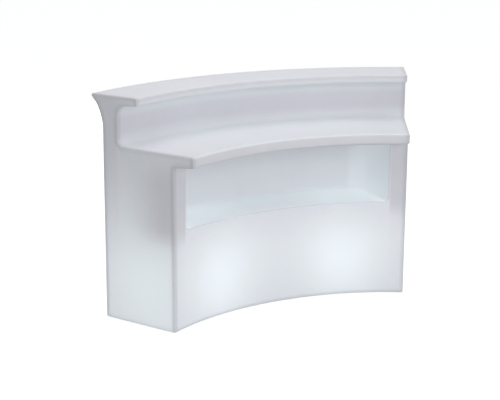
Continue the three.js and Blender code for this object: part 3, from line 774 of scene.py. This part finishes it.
def past_the_shelf(tree, place):
    """Share of the light that gets into the narrow hollow at each side of the shelf."""
    parts = add(tree, "ShaderNodeSeparateXYZ", i0=place)
    wide = add(tree, "ShaderNodeMath", {"operation": "ABSOLUTE"}, i0=parts.outputs["X"])
    level = add(tree, "ShaderNodeMath", {"operation": "SUBTRACT"},
                i0=parts.outputs["Z"], i1=PILLAR_MIDDLE)
    away = add(tree, "ShaderNodeMath", {"operation": "ABSOLUTE"}, i0=level.outputs[0])
    spoke = add(tree, "ShaderNodeVectorMath", {"operation": "MULTIPLY_ADD"}, i0=place,
                i1=(1, 1, 0), i2=-AXIS)
    reach = add(tree, "ShaderNodeVectorMath", {"operation": "LENGTH"}, i0=spoke.outputs[0])
    tall = add(tree, "ShaderNodeMapRange", {"interpolation_type": "SMOOTHSTEP"},
               Value=away.outputs[0], From_Min=PILLAR_NEAR, From_Max=PILLAR_FAR,
               To_Min=PILLAR_SHARE, To_Max=0.0)
    beside = add(tree, "ShaderNodeMapRange", {"interpolation_type": "SMOOTHSTEP"},
                 Value=wide.outputs[0], From_Min=PILLAR_INNER, From_Max=PILLAR_OUTER)
    shallow = add(tree, "ShaderNodeMapRange", {"interpolation_type": "SMOOTHSTEP"},
                  Value=reach.outputs["Value"], From_Min=PILLAR_FRONT_R,
                  From_Max=PILLAR_BACK_R, To_Min=1.0, To_Max=0.0)
    pillar = add(tree, "ShaderNodeMath", {"operation": "MULTIPLY"},
                 i0=tall.outputs[0], i1=beside.outputs[0])
    narrow = add(tree, "ShaderNodeMath", {"operation": "MULTIPLY"},
                 i0=pillar.outputs[0], i1=shallow.outputs[0])
    return add(tree, "ShaderNodeMath", {"operation": "SUBTRACT"},
               i0=1.0, i1=narrow.outputs[0]).outputs[0]


def milky_polyethylene():
    """Milky polyethylene, rotationally moulded: satin, softly see-through and lit from inside.

    The lamps' light is painted on as a glow that pools on the walls near them and fades with
    distance, painted shade darkens the edges, the shelf's mouth and back and the foot, and the
    skin has a faint orange peel.
    """
    tone = colours()
    material, tree, output = new_material("milky_polyethylene")
    place = add(tree, "ShaderNodeTexCoord").outputs["Object"]
    height = add(tree, "ShaderNodeSeparateXYZ", i0=place).outputs["Z"]
    fade = add(tree, "ShaderNodeMapRange", Value=height, From_Min=CHAMBER_LOW,
               From_Max=CHAMBER_HIGH, To_Min=CHAMBER_GLOW, To_Max=0.0)
    lower = add(tree, "ShaderNodeMath", {"operation": "ADD"},
                i0=lamp_pools(tree, place), i1=fade.outputs[0])
    walls = add(tree, "ShaderNodeAttribute", {"attribute_name": RECESS}).outputs["Fac"]
    recess = add(tree, "ShaderNodeMath", {"operation": "MULTIPLY"}, i0=walls, i1=RECESS_GLOW)
    inside = add(tree, "ShaderNodeMath", {"operation": "ADD"},
                 i0=lower.outputs[0], i1=recess.outputs[0])
    spread = add(tree, "ShaderNodeMath", {"operation": "MULTIPLY"},
                 i0=inside.outputs[0], i1=past_the_shelf(tree, place))
    # Painted shade at the edges, the shelf's mouth and back and the foot takes away painted glow
    corner = add(tree, "ShaderNodeAttribute", {"attribute_name": PAINTED_SHADE}).outputs["Fac"]
    glow_left_in_shade = add(tree, "ShaderNodeMapRange", Value=corner, To_Min=1.0, To_Max=CORNER_GLOW)
    glow = add(tree, "ShaderNodeMath", {"operation": "MULTIPLY"},
               i0=spread.outputs[0], i1=glow_left_in_shade.outputs[0])
    share = add(tree, "ShaderNodeMath", {"operation": "DIVIDE"},
                i0=recess.outputs[0], i1=inside.outputs[0])
    tint = add(tree, "ShaderNodeMix", {"data_type": "RGBA"}, i0=walls,
               i6=linear(tone.thick_glow), i7=linear(tone.glow))
    hue = add(tree, "ShaderNodeMix", {"data_type": "RGBA"}, i0=share.outputs[0],
              i6=linear(tone.glow), i7=tint.outputs[2])
    cloud = add(tree, "ShaderNodeTexNoise", Vector=place, Scale=1 / CLOUD_SIZE, Detail=3.0)
    skin = add(tree, "ShaderNodeMix", {"data_type": "RGBA"}, i0=cloud.outputs["Fac"],
               i6=linear(tone.milky), i7=linear(tone.cloudy))
    # Painted shade darkens the colour there
    dim = add(tree, "ShaderNodeMapRange", Value=corner, To_Min=1.0, To_Max=CORNER_SHADE)
    shade = add(tree, "ShaderNodeMix", {"data_type": "RGBA", "blend_type": "MULTIPLY"},
                i0=1.0, i6=skin.outputs[2], i7=dim.outputs[0])
    peel = add(tree, "ShaderNodeTexNoise", Vector=place, Scale=1 / (PEEL_SIZE * MM), Detail=2.0)
    bump = add(tree, "ShaderNodeBump", Strength=PEEL_STRENGTH, Distance=PEEL_DEPTH * MM,
               Height=peel.outputs["Fac"])
    rough = add(tree, "ShaderNodeMapRange", Value=cloud.outputs["Fac"],
                To_Min=SKIN_ROUGHNESS[0], To_Max=SKIN_ROUGHNESS[1])
    surface = add(tree, "ShaderNodeBsdfPrincipled", Base_Color=shade.outputs[2], IOR=1.51,
                  Roughness=rough.outputs[0], Normal=bump.outputs[0],
                  Emission_Color=hue.outputs[2], Emission_Strength=glow.outputs[0])
    tree.links.new(surface.outputs[0], output.inputs["Surface"])
    return material


def grained(name, tone, dark, grain, rough, relief, **surface):
    """A finish whose fine grain shows in its colour, gloss and relief, made once by name.

    The size of the grain and its relief are in millimetres, and rough is a pair of limits.
    """
    if name in bpy.data.materials:
        return bpy.data.materials[name]
    material, tree, output = new_material(name)
    place = add(tree, "ShaderNodeTexCoord").outputs["Object"]
    speck = add(tree, "ShaderNodeTexNoise", Vector=place, Scale=1 / (grain * MM), Detail=4.0)
    colour = add(tree, "ShaderNodeMix", {"data_type": "RGBA"}, i0=speck.outputs["Fac"],
                 i6=linear(tone), i7=linear(dark))
    gloss = add(tree, "ShaderNodeMapRange", Value=speck.outputs["Fac"], To_Min=rough[0],
                To_Max=rough[1])
    bump = add(tree, "ShaderNodeBump", Strength=GRAIN_STRENGTH, Distance=relief * MM,
               Height=speck.outputs["Fac"])
    shader = add(tree, "ShaderNodeBsdfPrincipled", Base_Color=colour.outputs[2],
                 Roughness=gloss.outputs[0], Normal=bump.outputs[0], **surface)
    tree.links.new(shader.outputs[0], output.inputs["Surface"])
    return material


def zinc_plated_steel():
    """Steel, pressed or turned, then bright zinc plated: a cool grey with a faint spangle."""
    return grained("zinc_plated_steel", colours().zinc, dark="#9EA3A8", grain=3.0,
                   rough=(0.26, 0.42), relief=0.02, Metallic=1.0)


def turned_brass():
    """Brass off the lathe: warm yellow, dulled a little where it has been handled."""
    return grained("turned_brass", colours().brass, dark="#A98744", grain=1.2,
                   rough=(0.24, 0.40), relief=0.02, Metallic=1.0)


def moulded_rubber():
    """Black rubber from a compression mould: nearly matt, with a dusty fine grain."""
    return grained("moulded_rubber", colours().rubber, dark="#2B2B2C", grain=0.6,
                   rough=(0.72, 0.88), relief=0.05, IOR=1.52)


def black_polyamide():
    """Black polyamide from a spark-eroded mould: satin, with a fine even grain."""
    return grained("black_polyamide", colours().black, dark="#1B1C1D", grain=0.5,
                   rough=(0.42, 0.55), relief=0.04, IOR=1.53)


def grey_polyamide():
    """Grey polyamide from a spark-eroded mould: satin, with a fine even grain."""
    return grained("grey_polyamide", colours().grey, dark="#82858A", grain=0.5,
                   rough=(0.42, 0.55), relief=0.04, IOR=1.53)


def white_polybutylene():
    """White lamp and wiring plastic, moulded smooth: a soft gloss and a slightly warm white."""
    return grained("white_polybutylene", colours().white, dark="#DFDDD7", grain=4.0,
                   rough=(0.30, 0.40), relief=0.01, IOR=1.55)


def opal_polycarbonate():
    """Opal polycarbonate, blown thin: smooth, milky and lit evenly by the lamp inside it."""
    return grained("opal_polycarbonate", colours().opal, dark="#ECEDEA", grain=9.0,
                   rough=(0.22, 0.30), relief=0.01, IOR=1.58,
                   Emission_Color=linear(colours().glow), Emission_Strength=GLOBE_GLOW)


class COUNTER_OT_body(bpy.types.Operator):
    """Moulds the hollow body with its bar top, work surface and shelf recess"""

    bl_idname = "counter.body"
    bl_label = "Moulded body"

    def execute(self, context):
        size = sizes()
        bm = bmesh.new()
        bm.verts.layers.float.new(RECESS)
        bm.verts.layers.float.new(PAINTED_SHADE)
        sweep_profile(bm, size)
        back = sink_shelf(bm, size)
        round_shelf(bm, size, back)
        round_ends(bm, size)
        shade_corners(bm, size)
        open_base(bm, size)
        face_out(bm)
        piece = new_piece("moulded_body", bm, COUNTER, "milky_polyethylene",
                          milky_polyethylene(), "body_shell")
        shell = piece.modifiers.new("wall", "SOLIDIFY")
        shell.thickness = size.wall
        shell.offset = -1
        flat = piece.modifiers.new("even_light", "WEIGHTED_NORMAL")
        flat.weight = FLAT_WEIGHT
        return {"FINISHED"}


def foot_of(node):
    """Middle of the lowest level of a CAD node."""
    low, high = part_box(node)
    return Vector(((low.x + high.x) / 2, (low.y + high.y) / 2, low.z))


def finished(bm, node, body, slot, material):
    """Makes a bmesh the finished piece that stands for one CAD node."""
    face_out(bm)
    new_piece(f"{node}_finished", bm, body, slot, material, node)


def turned_piece(node, outline, body, slot, material, closed=False):
    """A turned piece that stands for one CAD node."""
    bm = bmesh.new()
    turned(bm, foot_of(node), outline, closed=closed)
    finished(bm, node, body, slot, material)


def pierced_piece(node, rim, holes, slot, material):
    """A flat pierced piece that stands for one CAD node of the counter."""
    low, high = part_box(node)
    bm = bmesh.new()
    pierced(bm, low.z, high.z, rim, holes)
    finished(bm, node, COUNTER, slot, material)


def hexagon(centre, flats):
    """Rim of a hexagon of a width across flats, in the form that pierced takes."""
    return (centre, flats / math.sqrt(3), 6)


class COUNTER_OT_feet(bpy.types.Operator):
    """Makes the levelling feet: threaded inserts, studs and rubber pads"""

    bl_idname = "counter.feet"
    bl_label = "Levelling feet"

    def execute(self, context):
        brass = turned_brass()
        rubber = moulded_rubber()
        zinc = zinc_plated_steel()
        for number in FEET:
            turned_piece(f"foot_insert_{number}", INSERT_OUTLINE, COUNTER, "brass", brass, True)
            turned_piece(f"foot_pad_{number}", PAD_OUTLINE, f"foot_pad_{number}", "black_rubber",
                         rubber)
            node = f"foot_stud_{number}"
            foot = foot_of(node)
            head = foot + Vector((0, 0, STUD_HEX_RISE)) * MM
            bm = bmesh.new()
            pierced(bm, head.z, head.z + STUD_HEX_HEIGHT * MM, hexagon(foot, STUD_FLATS), ())
            turned(bm, foot, STUD_OUTLINE)
            thread(bm, head + Vector((0, 0, STUD_HEX_HEIGHT)) * MM, *STUD_THREAD)
            finished(bm, node, node, "zinc_plated_steel", zinc)
        return {"FINISHED"}


def screw_places(side):
    """Middle of each plate screw of a lamp port."""
    return [centre_of(f"port_screw_{side}_{number}") for number in SCREWS]


def sink_cross(bm, foot):
    """Closes a screw's head with a cross recess."""
    reach = CROSS_REACH
    width = CROSS_WIDTH
    quarter = ((reach, -width), (reach, width), (width, width))
    verts = []
    for turn in range(4):
        spin = Matrix.Rotation(turn * math.pi / 2, 3, "Z")
        verts += [bm.verts.new(foot + spin @ Vector((x, y, 0)) * MM) for x, y in quarter]
    cross = [bm.edges.new((a, b)) for a, b in zip(verts, verts[1:] + verts[:1])]
    ring = [e for e in bm.edges if e.is_boundary and abs(e.verts[0].co.z - foot.z) < TINY]
    bmesh.ops.triangle_fill(bm, use_beauty=True, edges=ring + cross, normal=(0, 0, -1))
    made = bmesh.ops.extrude_edge_only(bm, edges=cross)
    deep = [item for item in made["geom"] if isinstance(item, bmesh.types.BMVert)]
    bmesh.ops.translate(bm, verts=deep, vec=(0, 0, CROSS_DEPTH * MM))
    bmesh.ops.scale(bm, verts=deep, vec=(CROSS_TAPER, CROSS_TAPER, 1),
                    space=Matrix.Translation(-foot))
    floor = [item for item in made["geom"] if isinstance(item, bmesh.types.BMEdge)
             and all(v in deep for v in item.verts)]
    bmesh.ops.edgeloop_fill(bm, edges=floor)


class COUNTER_OT_ports(bpy.types.Operator):
    """Makes the plates, gaskets and screws that close the two lamp wells"""

    bl_idname = "counter.ports"
    bl_label = "Lamp ports"

    def execute(self, context):
        zinc = zinc_plated_steel()
        rubber = moulded_rubber()
        for side in SIDES:
            middle = centre_of(f"port_plate_{side}")
            low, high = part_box(f"port_plate_{side}")
            rim = (middle, (high.y - low.y) / 2 / MM, WIDE_SIDES)
            screw_holes = [(place, SCREW_HOLE, HOLE_SIDES) for place in screw_places(side)]
            holes = [(middle, NIPPLE_HOLE, HOLE_SIDES), *screw_holes]
            if side == "left":
                holes.append((centre_of("gland_body"), GLAND_HOLE, HOLE_SIDES))
            pierced_piece(f"port_plate_{side}", rim, holes, "zinc_plated_steel", zinc)
            port = (middle, PORT_RADIUS, WIDE_SIDES)
            pierced_piece(f"port_gasket_{side}", rim, [port, *screw_holes], "black_rubber", rubber)
            for number in SCREWS:
                node = f"port_screw_{side}_{number}"
                bm = bmesh.new()
                turned(bm, foot_of(node), SCREW_OUTLINE, HOLE_SIDES)
                bmesh.ops.remove_doubles(bm, verts=bm.verts, dist=TINY)
                sink_cross(bm, foot_of(node))
                finished(bm, node, COUNTER, "zinc_plated_steel", zinc)
        return {"FINISHED"}


def lamp_globe(node, material):
    """The lamp's thin globe, cut open where it sits on the neck."""
    low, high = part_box(node)
    middle = Vector(((low.x + high.x) / 2, (low.y + high.y) / 2, high.z - GLOBE_RADIUS * MM))
    mouth = Vector((middle.x, middle.y, low.z))
    bm = bmesh.new()
    bmesh.ops.create_uvsphere(bm, u_segments=GLOBE_SIDES, v_segments=GLOBE_RINGS,
                              radius=GLOBE_RADIUS * MM, matrix=Matrix.Translation(middle))
    bmesh.ops.bisect_plane(bm, geom=[*bm.verts, *bm.edges, *bm.faces], plane_co=mouth,
                           plane_no=(0, 0, -1), clear_outer=True)
    face_out(bm)
    bmesh.ops.solidify(bm, geom=bm.faces[:], thickness=GLOBE_WALL * MM)
    new_piece(f"{node}_finished", bm, COUNTER, "opal_plastic", material, node)


class COUNTER_OT_lamps(bpy.types.Operator):
    """Makes the two lamps with their holders, nipples and nuts"""

    bl_idname = "counter.lamps"
    bl_label = "Lamps"

    def execute(self, context):
        zinc = zinc_plated_steel()
        black = black_polyamide()
        white = white_polybutylene()
        opal = opal_polycarbonate()
        for side in SIDES:
            turned_piece(f"lamp_holder_{side}", HOLDER_OUTLINE, COUNTER, "black_plastic", black,
                         True)
            turned_piece(f"lamp_cap_{side}", CAP_OUTLINE, COUNTER, "zinc_plated_steel", zinc)
            turned_piece(f"lamp_neck_{side}", NECK_OUTLINE, COUNTER, "white_plastic", white)
            lamp_globe(f"lamp_globe_{side}", opal)
            node = f"holder_nipple_{side}"
            bm = bmesh.new()
            turned(bm, foot_of(node), NIPPLE_OUTLINE, HOLE_SIDES, True)
            thread(bm, foot_of(node), *NIPPLE_THREAD)
            finished(bm, node, COUNTER, "zinc_plated_steel", zinc)
            node = f"nipple_nut_{side}"
            middle = centre_of(node)
            pierced_piece(node, hexagon(middle, NUT_FLATS), [(middle, NIPPLE_HOLE, HOLE_SIDES)],
                          "zinc_plated_steel", zinc)
        return {"FINISHED"}


class COUNTER_OT_supply(bpy.types.Operator):
    """Makes the supply gland and finishes the wiring inside the body"""

    bl_idname = "counter.supply"
    bl_label = "Supply entry"

    def execute(self, context):
        grey = grey_polyamide()
        white = white_polybutylene()
        middle = centre_of("gland_body")
        foot = foot_of("gland_body")
        bm = bmesh.new()
        pierced(bm, foot.z, foot.z + GLAND_COLLAR * MM, hexagon(middle, GLAND_FLATS),
                [(middle, GLAND_BORE, HOLE_SIDES)])
        turned(bm, foot, GLAND_TUBE_OUTLINE, closed=True)
        thread(bm, foot + Vector((0, 0, GLAND_COLLAR)) * MM, *GLAND_THREAD)
        finished(bm, "gland_body", COUNTER, "grey_plastic", grey)
        pierced_piece("gland_locknut", hexagon(middle, LOCKNUT_FLATS),
                      [(middle, GLAND_HOLE, HOLE_SIDES)], "grey_plastic", grey)
        turned_piece("gland_dome", DOME_OUTLINE, COUNTER, "grey_plastic", grey, True)
        turned_piece("gland_seal", SEAL_OUTLINE, COUNTER, "black_rubber", moulded_rubber(), True)
        for node in ("terminal_block", "lamp_lead", "link_lead"):
            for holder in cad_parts[node].material_slots:
                holder.material = white
        return {"FINISHED"}


def add_lamp(name, place, target, width, height, watts):
    """A soft rectangular studio lamp that faces a target."""
    data = bpy.data.lights.new(name, "AREA")
    data.shape = "RECTANGLE"
    data.size = width
    data.size_y = height
    data.energy = watts
    lamp = bpy.data.objects.new(name, data)
    lamp.location = place
    lamp.rotation_euler = (Vector(target) - Vector(place)).to_track_quat("-Z", "Y").to_euler()
    bpy.context.scene.collection.objects.link(lamp)


def background_ray(tree):
    """1 on rays that show the background to the camera, directly, mirrored or through glass."""
    path = add(tree, "ShaderNodeLightPath")
    seen = add(tree, "ShaderNodeMath", {"operation": "MAXIMUM"},
               i0=path.outputs["Is Camera Ray"], i1=path.outputs["Is Glossy Ray"])
    return add(tree, "ShaderNodeMath", {"operation": "MAXIMUM"},
               i0=seen.outputs[0], i1=path.outputs["Is Transmission Ray"]).outputs[0]


def lay_floor(scene):
    """A wide matt floor that shows nearly white."""
    bm = bmesh.new()
    bmesh.ops.create_grid(bm, x_segments=FLOOR_CELLS, y_segments=FLOOR_CELLS, size=FLOOR_REACH)
    mesh = bpy.data.meshes.new("studio_floor")
    bm.to_mesh(mesh)
    bm.free()
    floor = bpy.data.objects.new("studio_floor", mesh)
    scene.collection.objects.link(floor)
    material, tree, output = new_material("pale_floor")
    matt = add(tree, "ShaderNodeBsdfDiffuse", Color=linear(colours().floor))
    share = add(tree, "ShaderNodeMath", {"operation": "MULTIPLY"},
                i0=background_ray(tree), i1=FLOOR_LIFT)
    lift = add(tree, "ShaderNodeEmission", Color=WHITE, Strength=share.outputs[0])
    both = add(tree, "ShaderNodeAddShader", i0=matt.outputs[0], i1=lift.outputs[0])
    tree.links.new(both.outputs[0], output.inputs["Surface"])
    mesh.materials.append(material)


def light_sky(scene):
    """Even light from all round, in front of a white background."""
    world = bpy.data.worlds.new("studio")
    scene.world = world
    world.use_nodes = True
    tree = world.node_tree
    tree.nodes.clear()
    light = add(tree, "ShaderNodeBackground", Color=linear(colours().sky), Strength=SKY_STRENGTH)
    white = add(tree, "ShaderNodeBackground", Color=WHITE, Strength=1.0)
    mix = add(tree, "ShaderNodeMixShader", i0=background_ray(tree), i1=light.outputs[0],
              i2=white.outputs[0])
    done = add(tree, "ShaderNodeOutputWorld")
    tree.links.new(mix.outputs[0], done.inputs["Surface"])


def place_camera(scene):
    """A camera at the place and with the lens that were found for the photo."""
    data = bpy.data.cameras.new("photo_camera")
    data.sensor_fit = "HORIZONTAL"
    data.sensor_width = SENSOR_MM
    data.lens = SENSOR_MM * FOCAL_PIXELS / IMAGE_WIDTH
    data.clip_end = CAMERA_FAR
    camera = bpy.data.objects.new("photo_camera", data)
    scene.collection.objects.link(camera)
    heading = Matrix.Rotation(-CAMERA_HEADING, 4, "Z")
    tilt = Matrix.Rotation(math.pi / 2 + CAMERA_TILT, 4, "X")
    camera.matrix_world = Matrix.Translation(CAMERA_PLACE) @ (heading @ tilt)
    scene.camera = camera


class COUNTER_OT_stage(bpy.types.Operator):
    """Sets the pale floor, the soft light and the camera"""

    bl_idname = "counter.stage"
    bl_label = "Stage"

    def execute(self, context):
        scene = context.scene
        lay_floor(scene)
        light_sky(scene)
        for softbox in SOFTBOXES:
            add_lamp(*softbox)
        place_camera(scene)
        scene.view_settings.view_transform = "Standard"
        return {"FINISHED"}


class COUNTER_PT_panel(bpy.types.Panel):
    """Lists the counter's build steps"""

    bl_idname = "COUNTER_PT_panel"
    bl_label = "Counter"
    bl_space_type = "VIEW_3D"
    bl_region_type = "UI"
    bl_category = "Counter"

    def draw(self, context):
        for operator in OPERATORS:
            self.layout.operator(operator.bl_idname)
        for group in (context.scene.counter_sizes, context.scene.counter_colours):
            for name in group.__annotations__:
                self.layout.prop(group, name)


OPERATORS = (COUNTER_OT_stage, COUNTER_OT_body, COUNTER_OT_feet, COUNTER_OT_ports,
             COUNTER_OT_lamps, COUNTER_OT_supply)
CLASSES = (CounterSizes, CounterColours, *OPERATORS, COUNTER_PT_panel)


def register():
    """Registers the classes and gives the scene its sizes and colours."""
    for item in CLASSES:
        bpy.utils.register_class(item)
    bpy.types.Scene.counter_sizes = bpy.props.PointerProperty(type=CounterSizes)
    bpy.types.Scene.counter_colours = bpy.props.PointerProperty(type=CounterColours)


def unregister():
    """Takes back what register added."""
    del bpy.types.Scene.counter_colours
    del bpy.types.Scene.counter_sizes
    for item in reversed(CLASSES):
        bpy.utils.unregister_class(item)


def main():
    """Builds the stage and the counter."""
    register()
    bpy.ops.counter.stage()
    bpy.ops.counter.body()
    bpy.ops.counter.feet()
    bpy.ops.counter.ports()
    bpy.ops.counter.lamps()
    bpy.ops.counter.supply()


if __name__ == "__main__":
    main()
